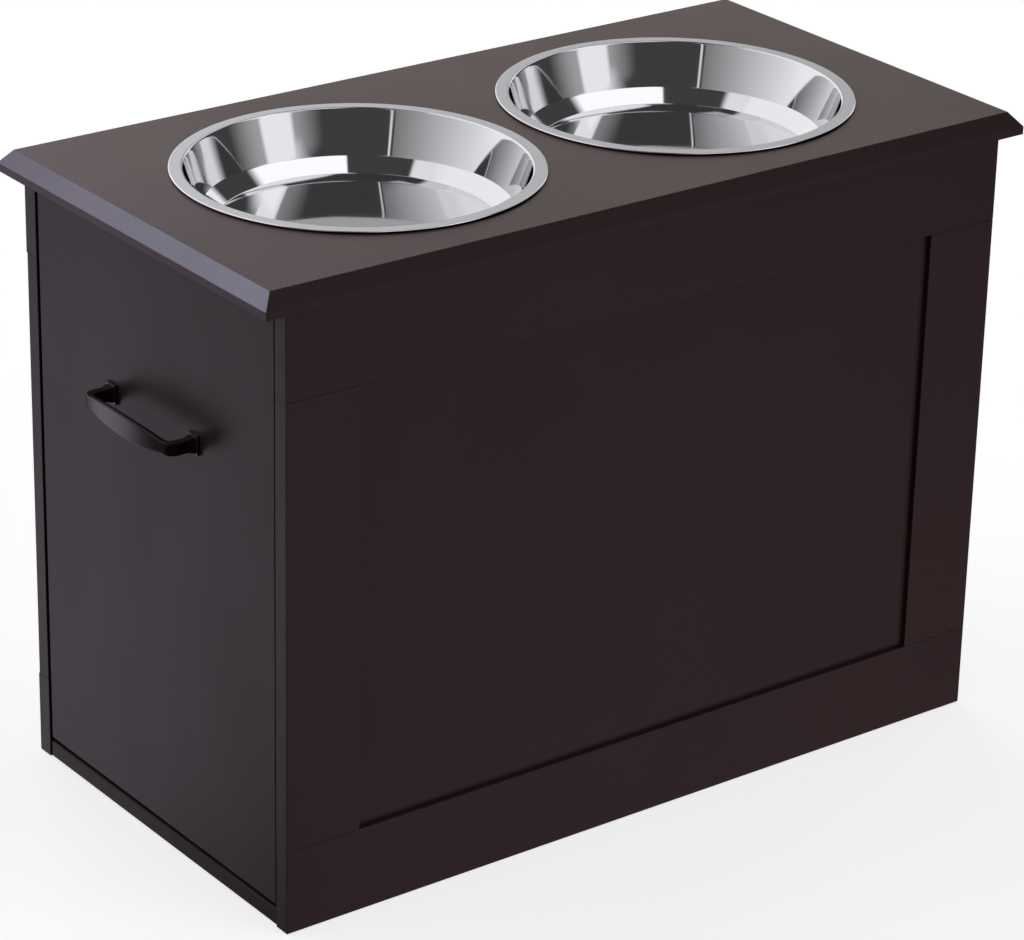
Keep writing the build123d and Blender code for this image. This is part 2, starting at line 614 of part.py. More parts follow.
def drawer_end():
    board = eased(block((DRAWER_REAR_X - DRAWER_BOARD, DRAWER_REAR_X), (-DRAWER_INSIDE_Y, DRAWER_INSIDE_Y),
                        (DRAWER_BOTTOM_Z, DRAWER_TOP_Z)), EDGE_ROUND)
    cuts = [bottom_groove()]
    cuts += [flush_screw_hole(start, direction, BOX_SCREW_LENGTH)
             for side in SIDES for start, direction in box_screws[side]]
    return without(board, cuts)


def drawer_bottom():
    half = DRAWER_INSIDE_Y + GROOVE_DEPTH - GROOVE_PLAY
    return block((FRONT_BACK_X - GROOVE_DEPTH + GROOVE_PLAY, DRAWER_REAR_X - DRAWER_BOARD + GROOVE_DEPTH
                  - GROOVE_PLAY), (-half, half), (BOTTOM_PANEL_Z, BOTTOM_PANEL_Z + DRAWER_BOTTOM_THICKNESS))


def bracket(half_width, reach, corner_round):
    """Flat U shape from the drawer's face out to reach, its far side bowed and its corners round."""
    face = make_face([
        Line((0, -half_width), (reach, -half_width)),
        ThreePointArc((reach, -half_width), (reach + HANDLE_BOW, 0), (reach, half_width)),
        Line((reach, half_width), (0, half_width)),
        Line((0, half_width), (0, -half_width)),
    ])
    return fillet(face.vertices().sort_by(Axis.X)[-2:], corner_round)


def grip_elevation(half_width):
    """Outline of the handle seen from its end of the cabinet: level legs, a grip that swells between."""
    bulge_end = HANDLE_CENTRES / 2 - LEG_THICKNESS / 2 - GRIP_SHOULDER
    end_half, mid_half = LEG_HEIGHT / 2, GRIP_HEIGHT / 2
    face = make_face([
        Line((-half_width, -end_half), (-bulge_end, -end_half)),
        ThreePointArc((-bulge_end, -end_half), (0, -mid_half), (bulge_end, -end_half)),
        Line((bulge_end, -end_half), (half_width, -end_half)),
        Line((half_width, -end_half), (half_width, end_half)),
        Line((half_width, end_half), (bulge_end, end_half)),
        ThreePointArc((bulge_end, end_half), (0, mid_half), (-bulge_end, end_half)),
        Line((-bulge_end, end_half), (-half_width, end_half)),
        Line((-half_width, end_half), (-half_width, -end_half)),
    ])
    kinks = face.vertices().filter_by(lambda vertex: abs(vertex.X) < half_width)
    return fillet(kinks, GRIP_SHOULDER_ROUND)


def handle_foot(y):
    """Flange against the drawer's face, and a flare that narrows from it to the leg."""
    flange = Box(FOOT_THICKNESS, FOOT_WIDTH, FOOT_HEIGHT, align=(Align.MIN, Align.CENTER, Align.CENTER))
    flange = fillet(flange.edges().filter_by(Axis.X), FOOT_ROUND)
    flange = fillet(flange.faces().sort_by(Axis.X)[-1].edges(), FOOT_EDGE_ROUND)
    wide = RectangleRounded(FOOT_WIDTH - 2 * FLARE_MARGIN, FOOT_HEIGHT - 2 * FLARE_MARGIN, FLARE_ROUND)
    narrow = RectangleRounded(LEG_THICKNESS - 2 * FLARE_SINK, LEG_HEIGHT - 2 * FLARE_SINK,
                              FLARE_ROUND - FLARE_SINK)
    flare = loft([Plane.YZ.offset(FOOT_THICKNESS / 2) * wide, Plane.YZ.offset(FLARE_LENGTH) * narrow])
    return Pos(0, y, 0) * (flange + flare)


def drawer_handle():
    """Cast bow handle: two flared feet, two legs and a grip that is tallest in the middle."""
    leg_outer = HANDLE_CENTRES / 2 + LEG_THICKNESS / 2
    leg_inner = HANDLE_CENTRES / 2 - LEG_THICKNESS / 2
    outer = bracket(leg_outer, HANDLE_PROJECTION, HANDLE_CORNER_ROUND)
    inner = bracket(leg_inner, HANDLE_PROJECTION - STRAP_THICKNESS, HANDLE_CORNER_ROUND - STRAP_THICKNESS)
    strap = Pos(0, 0, -GRIP_HEIGHT / 2) * extrude(outer - inner, GRIP_HEIGHT)
    slab = extrude(Plane.YZ * grip_elevation(leg_outer + STRAP_THICKNESS),
                   HANDLE_PROJECTION + HANDLE_BOW + STRAP_THICKNESS)
    body = strap & Pos(-STRAP_THICKNESS / 2, 0, 0) * slab
    free_edges = body.edges().filter_by(lambda edge: edge.bounding_box().max.X > FOOT_THICKNESS / 2)
    body = fillet(free_edges, HANDLE_EDGE_ROUND)
    for y in (-HANDLE_CENTRES / 2, HANDLE_CENTRES / 2):
        body += handle_foot(y)
    body = Plane(origin=(FRONT_FACE_X, 0, HANDLE_HEIGHT), x_dir=(-1, 0, 0), z_dir=(0, 0, 1)) * body
    return without(body, [shank_hole(start, direction, HANDLE_SCREW_LENGTH, HANDLE_SCREW_RADIUS)
                          for start, direction in handle_screws])


# ---- Nodes ----
def group(solids):
    """Several separate solids that share one node."""
    return Compound(children=list(solids))


def nodes():
    yield "top_board", top_board()
    for end, e in ENDS.items():
        yield f"bowl_{end}", bowl(e * BOWL_SPACING / 2)
    for side in SIDES:
        yield f"{side}_lower_rail", rail(side, (0, LOWER_RAIL_HEIGHT), True)
        yield f"{side}_upper_rail", rail(side, (UPPER_RAIL_BOTTOM, BODY_TOP), False)
        for end in ENDS:
            yield f"{side}_stile_{end}", stile(side, end)
        yield f"{side}_panel", panel(side)
        yield f"top_cleat_{side}", top_cleat(side)
    yield "bottom_board", bottom_board()
    yield "end_panel", end_panel()

    fixed_joints = [joint for side in SIDES for joint in base_cams[side] + end_cams[side]]
    yield "cabinet_cams", group(joint.cam() for joint in fixed_joints)
    yield "cabinet_cam_bolts", group(joint.bolt() for joint in fixed_joints)
    dowels = [place for side in SIDES for place in frame_dowels[side]] + base_dowels
    yield "wood_dowels", group(dowel(*place) for place in dowels)
    cleat_screws = [place for side in SIDES for place in top_screws[side] + rail_screws[side]]
    yield "cleat_screws", group(pan_screw(*place, CLEAT_SCREW_LENGTH) for place in cleat_screws)

    for side in SIDES:
        yield f"cabinet_slide_{side}", cabinet_slide(side)
        yield f"drawer_slide_{side}", drawer_slide(side)
        yield f"cabinet_roller_{side}", roller(side, FIXED_ROLLER_X, FIXED_ROLLER_Z)
        yield f"drawer_roller_{side}", roller(side, DRAWER_ROLLER_X, DRAWER_ROLLER_Z)
    yield "cabinet_roller_pins", group(roller_pin(side, FIXED_ROLLER_X, FIXED_ROLLER_Z, True)
                                       for side in SIDES)
    yield "drawer_roller_pins", group(roller_pin(side, DRAWER_ROLLER_X, DRAWER_ROLLER_Z, False)
                                      for side in SIDES)
    yield "cabinet_slide_screws", group(pan_screw(*place, SLIDE_SCREW_LENGTH)
                                        for side in SIDES for place in cabinet_slide_screw_places(side))
    yield "drawer_slide_screws", group(pan_screw(*place, SLIDE_SCREW_LENGTH)
                                       for side in SIDES for place in drawer_slide_screw_places(side))

    yield "drawer_front", drawer_front()
    for side in SIDES:
        yield f"drawer_side_{side}", drawer_side(side)
    yield "drawer_end", drawer_end()
    yield "drawer_bottom", drawer_bottom()
    drawer_joints = [joint for side in SIDES for joint in drawer_cams[side]]
    yield "drawer_cams", group(joint.cam() for joint in drawer_joints)
    yield "drawer_cam_bolts", group(joint.bolt() for joint in drawer_joints)
    yield "drawer_box_screws", group(flush_screw(*place, BOX_SCREW_LENGTH)
                                     for side in SIDES for place in box_screws[side])
    yield "drawer_handle", drawer_handle()
    yield "handle_screws", group(pan_screw(*place, HANDLE_SCREW_LENGTH, HANDLE_SCREW_RADIUS,
                                           HANDLE_SCREW_HEAD_RADIUS, HANDLE_SCREW_HEAD_HEIGHT)
                                 for place in handle_screws)


for name, shape in nodes():
    export_step(shape, f"parts/{name}.step")
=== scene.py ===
import json
from math import ceil, cos, pi, radians, sin, tan

import bpy
from mathutils import Matrix, Vector


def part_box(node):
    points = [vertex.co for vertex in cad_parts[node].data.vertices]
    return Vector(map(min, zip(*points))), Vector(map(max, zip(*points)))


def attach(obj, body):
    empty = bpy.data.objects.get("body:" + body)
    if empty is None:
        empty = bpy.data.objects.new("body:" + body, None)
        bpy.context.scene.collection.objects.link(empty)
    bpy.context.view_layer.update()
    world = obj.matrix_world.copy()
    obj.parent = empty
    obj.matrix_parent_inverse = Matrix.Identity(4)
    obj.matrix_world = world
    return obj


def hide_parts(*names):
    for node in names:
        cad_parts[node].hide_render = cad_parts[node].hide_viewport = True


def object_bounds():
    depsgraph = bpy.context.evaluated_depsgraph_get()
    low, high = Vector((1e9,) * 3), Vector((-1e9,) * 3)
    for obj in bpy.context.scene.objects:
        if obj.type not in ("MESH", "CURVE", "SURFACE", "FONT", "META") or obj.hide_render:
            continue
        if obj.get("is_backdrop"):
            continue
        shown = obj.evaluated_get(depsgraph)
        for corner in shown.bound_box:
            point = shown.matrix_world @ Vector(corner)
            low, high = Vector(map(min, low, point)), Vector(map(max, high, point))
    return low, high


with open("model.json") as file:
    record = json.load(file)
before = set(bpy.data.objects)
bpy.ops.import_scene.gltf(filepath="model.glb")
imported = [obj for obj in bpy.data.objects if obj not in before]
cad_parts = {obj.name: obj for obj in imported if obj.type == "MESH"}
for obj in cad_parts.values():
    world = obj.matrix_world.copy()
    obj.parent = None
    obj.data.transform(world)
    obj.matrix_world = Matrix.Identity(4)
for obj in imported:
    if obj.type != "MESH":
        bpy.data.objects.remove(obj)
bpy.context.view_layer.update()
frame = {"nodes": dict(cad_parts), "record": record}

# Elevated dog feeder with a storage drawer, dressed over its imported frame.  Metres.
# The drawer front and its handle are at -X, the long panelled front is at -Y, and Z is up.

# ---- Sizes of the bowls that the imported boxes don't give ----
BOWL_DEPTH = 0.037
BOWL_SHEET = 0.0008
FLOOR_RADIUS = 0.0905
WALL_FOOT_RADIUS = 0.1008
WALL_TOP_RADIUS = 0.1108
WALL_DROP = 0.028
WALL_BARREL = 0.0003
STEP_ROUND = 0.0012
SHOULDER_ROUND = 0.0014
RIM_ROUND = 0.001
# Width and height of the band of painted contact shadow along the rim's outer edge:
RIM_SHADOW_BAND = 0.0004
PROFILE_STEP = 0.0012
ROUND_STEPS = 10
BOWL_SEGMENTS = 288

# ---- Camera, set to the photograph's viewing angle ----
IMAGE_WIDTH = 1024
FOCAL_PIXELS = 4076.0
SENSOR_WIDTH = 36.0
CAMERA_PLACE = (-1.5110, -1.9954, 1.3074)
CAMERA_YAW = radians(52.884)
CAMERA_PITCH = radians(24.004)
CAMERA_ROLL = radians(1.297)
CLIP_END = 100.0

# ---- Floor of the studio ----
FLOOR_REACH = 12.0
FLOOR_DROP = 0.0006
FLOOR_GLOW = 0.72

# ---- Finishes ----
PAINT_SPECULAR = 0.2
BASE_SPECULAR = 0.1
PAINT_WEAR = (0.1, 0.4)
# Strength of the bottom board's painted edge highlight:
BASE_HIGHLIGHT_SHARE = (0.7, 1.0)
# Strength of the handle's painted edge highlight:
HANDLE_HIGHLIGHT_SHARE = 0.8
PAINT_SHIFT = 1.7
EDGE_COSINE = 0.9
EDGE_SAMPLES = 6
SATIN_START = 0.55
# How far up the rim's painted contact shadow fades:
RIM_SHADOW_FADE = 1.3
TURNING_SCALE = 2600.0

# ---- Colours, linear ----
ESPRESSO = (0.0350, 0.0165, 0.0180)
ESPRESSO_LIGHT = (0.0380, 0.0180, 0.0195)
ESPRESSO_EDGE = (0.0700, 0.0480, 0.0480)
# Near-white painted highlight along the bottom board's top edge:
ARRIS_PAINTED_HIGHLIGHT = (0.4000, 0.3800, 0.3900)
STEEL = (0.80, 0.80, 0.81)
STEEL_DULL = (0.62, 0.62, 0.63)
STEEL_SATIN = (0.88, 0.88, 0.89)
# Near-black painted contact shadow along the bowl rims' lower edge:
STEEL_PAINTED_SHADOW = (0.01, 0.01, 0.01)
HANDLE_BLACK = (0.0170, 0.0090, 0.0098)
HANDLE_BROWN = (0.0280, 0.0155, 0.0165)
# Pale painted highlight along the handle's edges:
HANDLE_PAINTED_HIGHLIGHT = (0.6000, 0.5500, 0.5500)
HANDLE_TINT = (1.0, 0.80, 0.82)
SLIDE_COAT = (0.0300, 0.0280, 0.0280)
NYLON = (0.70, 0.69, 0.65)
ZINC = (0.50, 0.50, 0.49)
PLATED_STEEL = (0.56, 0.56, 0.55)
BEECH = (0.50, 0.33, 0.18)
BEECH_DARK = (0.33, 0.20, 0.10)
FLOOR_PALE = (0.85, 0.85, 0.85)
ROOM_TINT = (0.97, 0.97, 1.0)
WHITE = (1.0, 1.0, 1.0)


# ---- Nodes ----
def put(tree, socket, value):
    """Links the value to the socket if it is a socket itself, and sets it otherwise."""
    if isinstance(value, bpy.types.NodeSocket):
        tree.links.new(value, socket)
    else:
        socket.default_value = value


def math_node(tree, operation, first, second=0.0):
    made = tree.nodes.new("ShaderNodeMath")
    made.operation = operation
    put(tree, made.inputs[0], first)
    put(tree, made.inputs[1], second)
    return made.outputs[0]


def map_range(tree, value, low, high, to_low=0.0, to_high=1.0, interpolation="LINEAR"):
    """The value's range from low to high, mapped to another range and held at its ends."""
    made = tree.nodes.new("ShaderNodeMapRange")
    made.interpolation_type = interpolation
    for socket, number in zip(made.inputs, (value, low, high, to_low, to_high)):
        put(tree, socket, number)
    return made.outputs[0]


# ---- Materials ----
class Surface:
    """A Principled material, with short calls for the nodes that vary it."""

    def __init__(self, name, colour, roughness, metallic=0.0, specular=0.5):
        self.material = bpy.data.materials.new(name)
        self.material.use_nodes = True
        self.tree = self.material.node_tree
        self.shader = self.tree.nodes["Principled BSDF"]
        self.shader.inputs["Base Color"].default_value = (*colour, 1)
        self.shader.inputs["Roughness"].default_value = roughness
        self.shader.inputs["Metallic"].default_value = metallic
        self.shader.inputs["Specular IOR Level"].default_value = specular
        self.place = self.node("ShaderNodeTexCoord").outputs["Object"]

    def node(self, kind, inputs=None, **settings):
        made = self.tree.nodes.new(kind)
        for key, value in settings.items():
            setattr(made, key, value)
        for socket, value in (inputs or {}).items():
            put(self.tree, made.inputs[socket], value)
        return made

    def math(self, operation, first, second=0.0):
        return math_node(self.tree, operation, first, second)

    def spread(self, value, low, high, to_low=0.0, to_high=1.0):
        return map_range(self.tree, value, low, high, to_low, to_high)

    def noise(self, scale, detail=2.0, stretch=(1, 1, 1), shift=0.0):
        place = self.node("ShaderNodeMapping", {"Vector": self.place, "Scale": stretch,
                                                "Location": (shift, shift, shift)})
        return self.node("ShaderNodeTexNoise", {"Vector": place.outputs[0], "Scale": scale,
                                                "Detail": detail}).outputs["Fac"]

    def blend(self, factor, first, second):
        colours = {"Factor": factor, 6: self.as_colour(first), 7: self.as_colour(second)}
        return self.node("ShaderNodeMix", colours, data_type="RGBA").outputs[2]

    @staticmethod
    def as_colour(value):
        return value if isinstance(value, bpy.types.NodeSocket) else (*value, 1)

    def near_edge(self, reach):
        """One on a sharp edge, falling to nothing a reach away from it."""
        rounded = self.node("ShaderNodeBevel", {"Radius": reach}, samples=EDGE_SAMPLES).outputs[0]
        flat = self.node("ShaderNodeNewGeometry").outputs["Normal"]
        likeness = self.node("ShaderNodeVectorMath", {0: rounded, 1: flat}, operation="DOT_PRODUCT")
        return self.spread(likeness.outputs["Value"], 1.0, EDGE_COSINE)

    def colour(self, value):
        put(self.tree, self.shader.inputs["Base Color"], value)

    def roughness(self, value):
        put(self.tree, self.shader.inputs["Roughness"], value)

    def bump(self, height, strength, distance):
        bumped = self.node("ShaderNodeBump", {"Height": height, "Strength": strength,
                                              "Distance": distance})
        put(self.tree, self.shader.inputs["Normal"], bumped.outputs[0])


def espresso_paint(name, shift, specular=PAINT_SPECULAR, edge=ESPRESSO_EDGE, wear_and_highlight=PAINT_WEAR):
    """Satin sprayed paint on fibreboard: faint clouding, fine orange peel, paler rubbed edges; where the
    near-white arris colour is given, as for the bottom board, the pale edge is a painted highlight.
    """
    surface = Surface(name, ESPRESSO, roughness=0.42, specular=specular)
    clouding = surface.spread(surface.noise(scale=7.0, detail=3.0, shift=shift), low=0.35, high=0.65)
    speckle = surface.noise(scale=420.0, shift=shift)
    body = surface.blend(clouding, ESPRESSO, ESPRESSO_LIGHT)
    edge_lightening = surface.spread(surface.noise(scale=60.0), low=0.3, high=0.7, to_low=wear_and_highlight[0], to_high=wear_and_highlight[1])
    # Edge lightening: rubbed paint on the boards, and a painted highlight on the bottom board's arris.
    at_edge = surface.math("MULTIPLY", surface.near_edge(reach=0.0010), edge_lightening)
    surface.colour(surface.blend(at_edge, body, edge))
    smears = surface.spread(surface.noise(scale=18.0, detail=4.0, stretch=(1, 1, 0.4), shift=shift),
                            low=0.3, high=0.7, to_low=0.40, to_high=0.43)
    peel = surface.spread(speckle, low=0.0, high=1.0, to_low=-0.02, to_high=0.02)
    surface.roughness(surface.math("ADD", smears, peel))
    surface.bump(surface.math("ADD", speckle, surface.noise(scale=1400.0, detail=1.0)),
                 strength=0.05, distance=0.00004)
    return surface.material


def bowl_steel(node):
    """Polished steel with a satin rim, and a painted shadow: a near-black line where the rim's edge meets
    the board.
    """
    low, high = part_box(node)
    centre = (low + high) / 2
    rim_radius = (high.x - low.x) / 2
    surface = Surface(f"steel_{node}", STEEL, roughness=0.05, metallic=1.0)
    offset = surface.node("ShaderNodeVectorMath", {0: surface.place, 1: (centre.x, centre.y, 0)},
                          operation="SUBTRACT").outputs[0]
    across, along, height = surface.node("ShaderNodeSeparateXYZ", {0: offset}).outputs
    squares = surface.math("ADD", surface.math("MULTIPLY", across, across),
                           surface.math("MULTIPLY", along, along))
    radius = surface.math("SQRT", squares)
    past_shoulder = surface.spread(radius, low=WALL_TOP_RADIUS + SHOULDER_ROUND * SATIN_START,
                                   high=WALL_TOP_RADIUS + SHOULDER_ROUND)
    before_edge = surface.spread(radius, low=rim_radius - RIM_ROUND, high=rim_radius - RIM_ROUND / 2,
                                 to_low=1.0, to_high=0.0)
    on_rim = surface.math("MULTIPLY", past_shoulder, before_edge)
    turning = surface.node("ShaderNodeTexNoise", {"W": surface.math("MULTIPLY", radius, TURNING_SCALE),
                                                  "Detail": 2.0}, noise_dimensions="1D").outputs["Fac"]
    smudge = surface.noise(scale=40.0, detail=3.0)
    polish = surface.spread(smudge, low=0.3, high=0.75, to_low=0.03, to_high=0.07)
    satin = surface.spread(turning, low=0.2, high=0.8, to_low=0.40, to_high=0.50)
    surface.roughness(surface.node("ShaderNodeMix", {0: on_rim, 2: polish, 3: satin}).outputs[0])
    bright = surface.blend(on_rim, STEEL, STEEL_SATIN)
    # Painted shadow: the lower outer edge of the rim is turned near-black where it meets the board,
    # standing in for the contact shadow.
    at_edge = surface.spread(radius, low=rim_radius - RIM_SHADOW_BAND, high=rim_radius - RIM_SHADOW_BAND / 2)
    low_down = surface.spread(height, low=high.z - RIM_SHADOW_BAND, high=high.z - RIM_SHADOW_BAND * RIM_SHADOW_FADE)
    surface.colour(surface.blend(surface.math("MULTIPLY", at_edge, low_down), bright, STEEL_PAINTED_SHADOW))
    surface.bump(surface.math("MULTIPLY", turning, on_rim), strength=0.10, distance=0.00002)
    return surface.material


def handle_coat():
    """Satin near-black coating with a fine grain, and a painted highlight along its edges."""
    surface = Surface("handle_coat", HANDLE_BLACK, roughness=0.21, specular=0.22)
    surface.shader.inputs["Specular Tint"].default_value = (*HANDLE_TINT, 1)
    grain = surface.noise(scale=900.0)
    body = surface.blend(surface.noise(scale=30.0), HANDLE_BLACK, HANDLE_BROWN)
    # Painted highlight: the handle's edges are blended strongly towards a pale colour.
    edge_lightening = surface.math("MULTIPLY", surface.near_edge(reach=0.0005), HANDLE_HIGHLIGHT_SHARE)
    surface.colour(surface.blend(edge_lightening, body, HANDLE_PAINTED_HIGHLIGHT))
    surface.roughness(surface.spread(grain, low=0.2, high=0.8, to_low=0.19, to_high=0.23))
    surface.bump(grain, strength=0.01, distance=0.00002)
    return surface.material


def coated_steel():
    """Dark epoxy coat of the slides, rubbed to bare metal at the edges."""
    surface = Surface("slide_epoxy", SLIDE_COAT, roughness=0.4)
    grain = surface.noise(scale=700.0)
    surface.colour(surface.blend(surface.near_edge(reach=0.0008), SLIDE_COAT, ZINC))
    surface.roughness(surface.spread(grain, low=0.2, high=0.8, to_low=0.34, to_high=0.48))
    surface.bump(grain, strength=0.12, distance=0.00005)
    return surface.material


def nylon():
    """Off-white roller nylon with grey smears of running."""
    surface = Surface("roller_nylon", NYLON, roughness=0.45)
    track = surface.noise(scale=260.0)
    smeared = surface.spread(track, low=0.4, high=0.7, to_low=0.0, to_high=0.35)
    surface.colour(surface.blend(smeared, NYLON, STEEL_DULL))
    surface.roughness(surface.spread(track, low=0.2, high=0.8, to_low=0.38, to_high=0.55))
    surface.bump(track, strength=0.08, distance=0.00004)
    return surface.material


def plated(name, colour, scale):
    """Zinc-coloured metal with the mottling of a plated or cast surface."""
    surface = Surface(name, colour, roughness=0.35, metallic=1.0)
    mottle = surface.noise(scale, detail=3.0)
    surface.colour(surface.blend(mottle, colour, STEEL_DULL))
    surface.roughness(surface.spread(mottle, low=0.2, high=0.8, to_low=0.25, to_high=0.5))
    surface.bump(mottle, strength=0.10, distance=0.00004)
    return surface.material


def beech():
    """Bare beech with grain drawn out along Z."""
    surface = Surface("dowel_beech", BEECH, roughness=0.6)
    grain = surface.noise(scale=900.0, detail=4.0, stretch=(1, 1, 0.06))
    surface.colour(surface.blend(surface.spread(grain, low=0.35, high=0.7), BEECH, BEECH_DARK))
    surface.roughness(surface.spread(grain, low=0.2, high=0.8, to_low=0.5, to_high=0.7))
    surface.bump(grain, strength=0.15, distance=0.00005)
    return surface.material


def dress(node, material):
    """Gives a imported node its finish."""
    mesh = frame["nodes"][node].data
    mesh.materials.clear()
    mesh.materials.append(material)
    mesh.update()


def dress_frame():
    """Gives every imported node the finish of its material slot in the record."""
    shared = {
        "handle_black": handle_coat(),
        "slide_coated_steel": coated_steel(),
        "roller_nylon": nylon(),
        "cam_zinc": plated("cam_zinc", ZINC, scale=220.0),
        "fastener_steel": plated("fastener_steel", PLATED_STEEL, scale=600.0),
        "dowel_wood": beech(),
    }
    for index, part in enumerate(frame["record"]["subparts"]):
        name, slot = part["node"], part["material_slot"]
        paint, shift = f"paint_{name}", index * PAINT_SHIFT
        # The bottom board's edges get a painted highlight: a near-white arris colour laid strongly along
        # them.
        if name == "bottom_board":
            dress(name, espresso_paint(paint, shift, BASE_SPECULAR, ARRIS_PAINTED_HIGHLIGHT, BASE_HIGHLIGHT_SHARE))
        elif slot == "espresso_board":
            dress(name, espresso_paint(paint, shift))
        elif slot == "bowl_steel":
            dress(name, bowl_steel(name))
        else:
            dress(name, shared[slot])


# ---- Bowls ----
def extend(points, end):
    """Carries a straight run on to end in short even steps."""
    start = points[-1].copy()
    steps = max(1, ceil((end - start).length / PROFILE_STEP))
    points.extend(start.lerp(end, step / steps) for step in range(1, steps + 1))


def rounded_run(corners, radii):
    """Dense points along a line through the corners, each inner corner rounded to its radius."""
    points = [Vector(corners[0])]
    for before, corner, after, radius in zip(corners, corners[1:], corners[2:], radii):
        corner = Vector(corner)
        back = (Vector(before) - corner).normalized()
        ahead = (Vector(after) - corner).normalized()
        turn = pi - back.angle(ahead)
        cut = radius * tan(turn / 2)
        middle = corner + (back + ahead).normalized() * (radius / cos(turn / 2))
        start = corner + back * cut - middle
        side = 1 if back.x * ahead.y - back.y * ahead.x < 0 else -1
        extend(points, corner + back * cut)
        for step in range(1, ROUND_STEPS + 1):
            points.append(middle + Matrix.Rotation(side * turn * step / ROUND_STEPS, 2) @ start)
    extend(points, Vector(corners[-1]))
    return points


def run_normals(points):
    """Unit normals of a run, on its left, which is the upper side of a bowl."""
    normals = []
    for index in range(len(points)):
        before, after = points[max(index - 1, 0)], points[min(index + 1, len(points) - 1)]
        along = (after - before).normalized()
        normals.append(Vector((-along.y, along.x)))
    return normals


def bulged(points, foot, top):
    """The run with its wall, from foot to top, swelled by a parabola that peaks at WALL_BARREL."""
    for point in points:
        share = (point.y - foot) / (top - foot)
        if 0 < share < 1 and point.x < WALL_TOP_RADIUS:
            point.x += WALL_BARREL * 4 * share * (1 - share)
    return points


def bowl_section(rim_radius, rim_height):
    """Half section of a bowl, from its axis to its edge and back under the sheet, with normals."""
    corners = [(0, -BOWL_DEPTH), (FLOOR_RADIUS, -BOWL_DEPTH), (WALL_FOOT_RADIUS, -WALL_DROP),
               (WALL_TOP_RADIUS, rim_height), (rim_radius, rim_height), (rim_radius, 0)]
    surface = rounded_run(corners, [STEP_ROUND, STEP_ROUND, SHOULDER_ROUND, RIM_ROUND])
    surface = bulged(surface, -WALL_DROP, rim_height - SHOULDER_ROUND)
    normals = run_normals(surface)
    underside = [point - normal * BOWL_SHEET for point, normal in zip(surface, normals)]
    under_normals = [-normal for normal in normals]
    return surface + underside[::-1], normals + under_normals[::-1]


def turned_faces(count):
    """Faces between neighbouring copies of a ring of count points, without its two poles."""
    faces = []
    for segment in range(BOWL_SEGMENTS):
        here, there = segment * count, (segment + 1) % BOWL_SEGMENTS * count
        faces += [(here + i, here + i + 1, there + i + 1, there + i) for i in range(count - 1)]
    return faces


def turned_bowl(side):
    """A pressed bowl turned about its axis: its upper surface, then the sheet's underside."""
    name, node = f"{side}_bowl_steel", f"bowl_{side}"
    low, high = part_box(node)
    centre = (low + high) / 2
    board_top = low.z + BOWL_DEPTH + BOWL_SHEET
    section, normals = bowl_section((high.x - low.x) / 2, high.z - board_top)
    ring, ring_normals = section[1:-1], normals[1:-1]
    count = len(ring)

    points, point_normals = [], []
    for segment in range(BOWL_SEGMENTS):
        turn = 2 * pi * segment / BOWL_SEGMENTS
        for place, normal in zip(ring, ring_normals):
            points.append((centre.x + place.x * cos(turn), centre.y + place.x * sin(turn),
                           board_top + place.y))
            point_normals.append((normal.x * cos(turn), normal.x * sin(turn), normal.y))
    faces = turned_faces(count)
    for height, pole_normal, row in ((section[0].y, 1, 0), (section[-1].y, -1, count - 1)):
        pole = len(points)
        points.append((centre.x, centre.y, board_top + height))
        point_normals.append((0, 0, pole_normal))
        for segment in range(BOWL_SEGMENTS):
            here, there = segment * count + row, (segment + 1) % BOWL_SEGMENTS * count + row
            faces.append((pole, here, there) if pole_normal > 0 else (pole, there, here))

    mesh = bpy.data.meshes.new(name)
    mesh.from_pydata(points, [], faces)
    mesh.validate()
    mesh.polygons.foreach_set("use_smooth", [True] * len(mesh.polygons))
    mesh.normals_split_custom_set_from_vertices(point_normals)
    mesh.materials.append(frame["nodes"][node].data.materials[0])
    bowl = bpy.data.objects.new(name, mesh)
    bpy.context.scene.collection.objects.link(bowl)
    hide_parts(node)
    return bowl


# ---- Studio ----
# Azimuth runs from +X towards +Y, in degrees, and is wrapped to lie between these two.
AZIMUTH_TOP, AZIMUTH_BOTTOM = 60, -300

# Soft windows of the studio, in degrees: azimuth from, to and softness, then the same for
# elevation, then brightness.
WINDOWS = {
    "key": (-70, -56, 26, 18, 44, 6, 1.00),
    "key_low": (-77, -69, 6, -6, 4, 3, 0.98),
    "key_wide": (-77, -58, 6, 7, 18, 3, 1.00),
    "key_glow": (-74, -56, 34, -6, 18, 4, 0.42),
    "key_floor": (-50, -32, 4, 45, 62, 3, 1.10),
    "key_floor_glow": (-52, -40, 34, 45, 60, 4, 0.30),
    "strip": (-147.5, -146.5, 0.6, -4, 64, 3, 0.80),
    "left_rear": (-275, -205, 4, 47, 66, 3, 0.90),
    "right_top": (-46, 2, 8, 50, 88, 6, 1.25),
    "rear": (18, 30, 6, -2, 40, 10, 1.05),
    "rear_glow": (34, 60, 8, -2, 38, 14, 0.40),
    "rear_left_glow": (-300, -282, 8, -2, 38, 14, 0.40),
    "rear_left": (-282, -268, 6, -2, 40, 10, 1.05),
    "right_crown": (-100, -46, 4, 65, 90, 2, 1.25),
    "step_right": (-286, -266, 6, 55, 72, 3, 0.60),
    "step_left": (10, 18, 4, 50, 62, 2, 1.10),
}

# Light of the bare room, the share of all light that diffuse rays get, and the graded flat.
DARKNESS = 0.055
DIFFUSE_SHARE = 0.25
RAMP_FROM, RAMP_TO = -149.5, -230.0
RAMP_LOW, RAMP_HIGH = 0.165, 0.97
RAMP_BOTTOM, RAMP_TOP, RAMP_SOFTNESS = 0, 58, 5

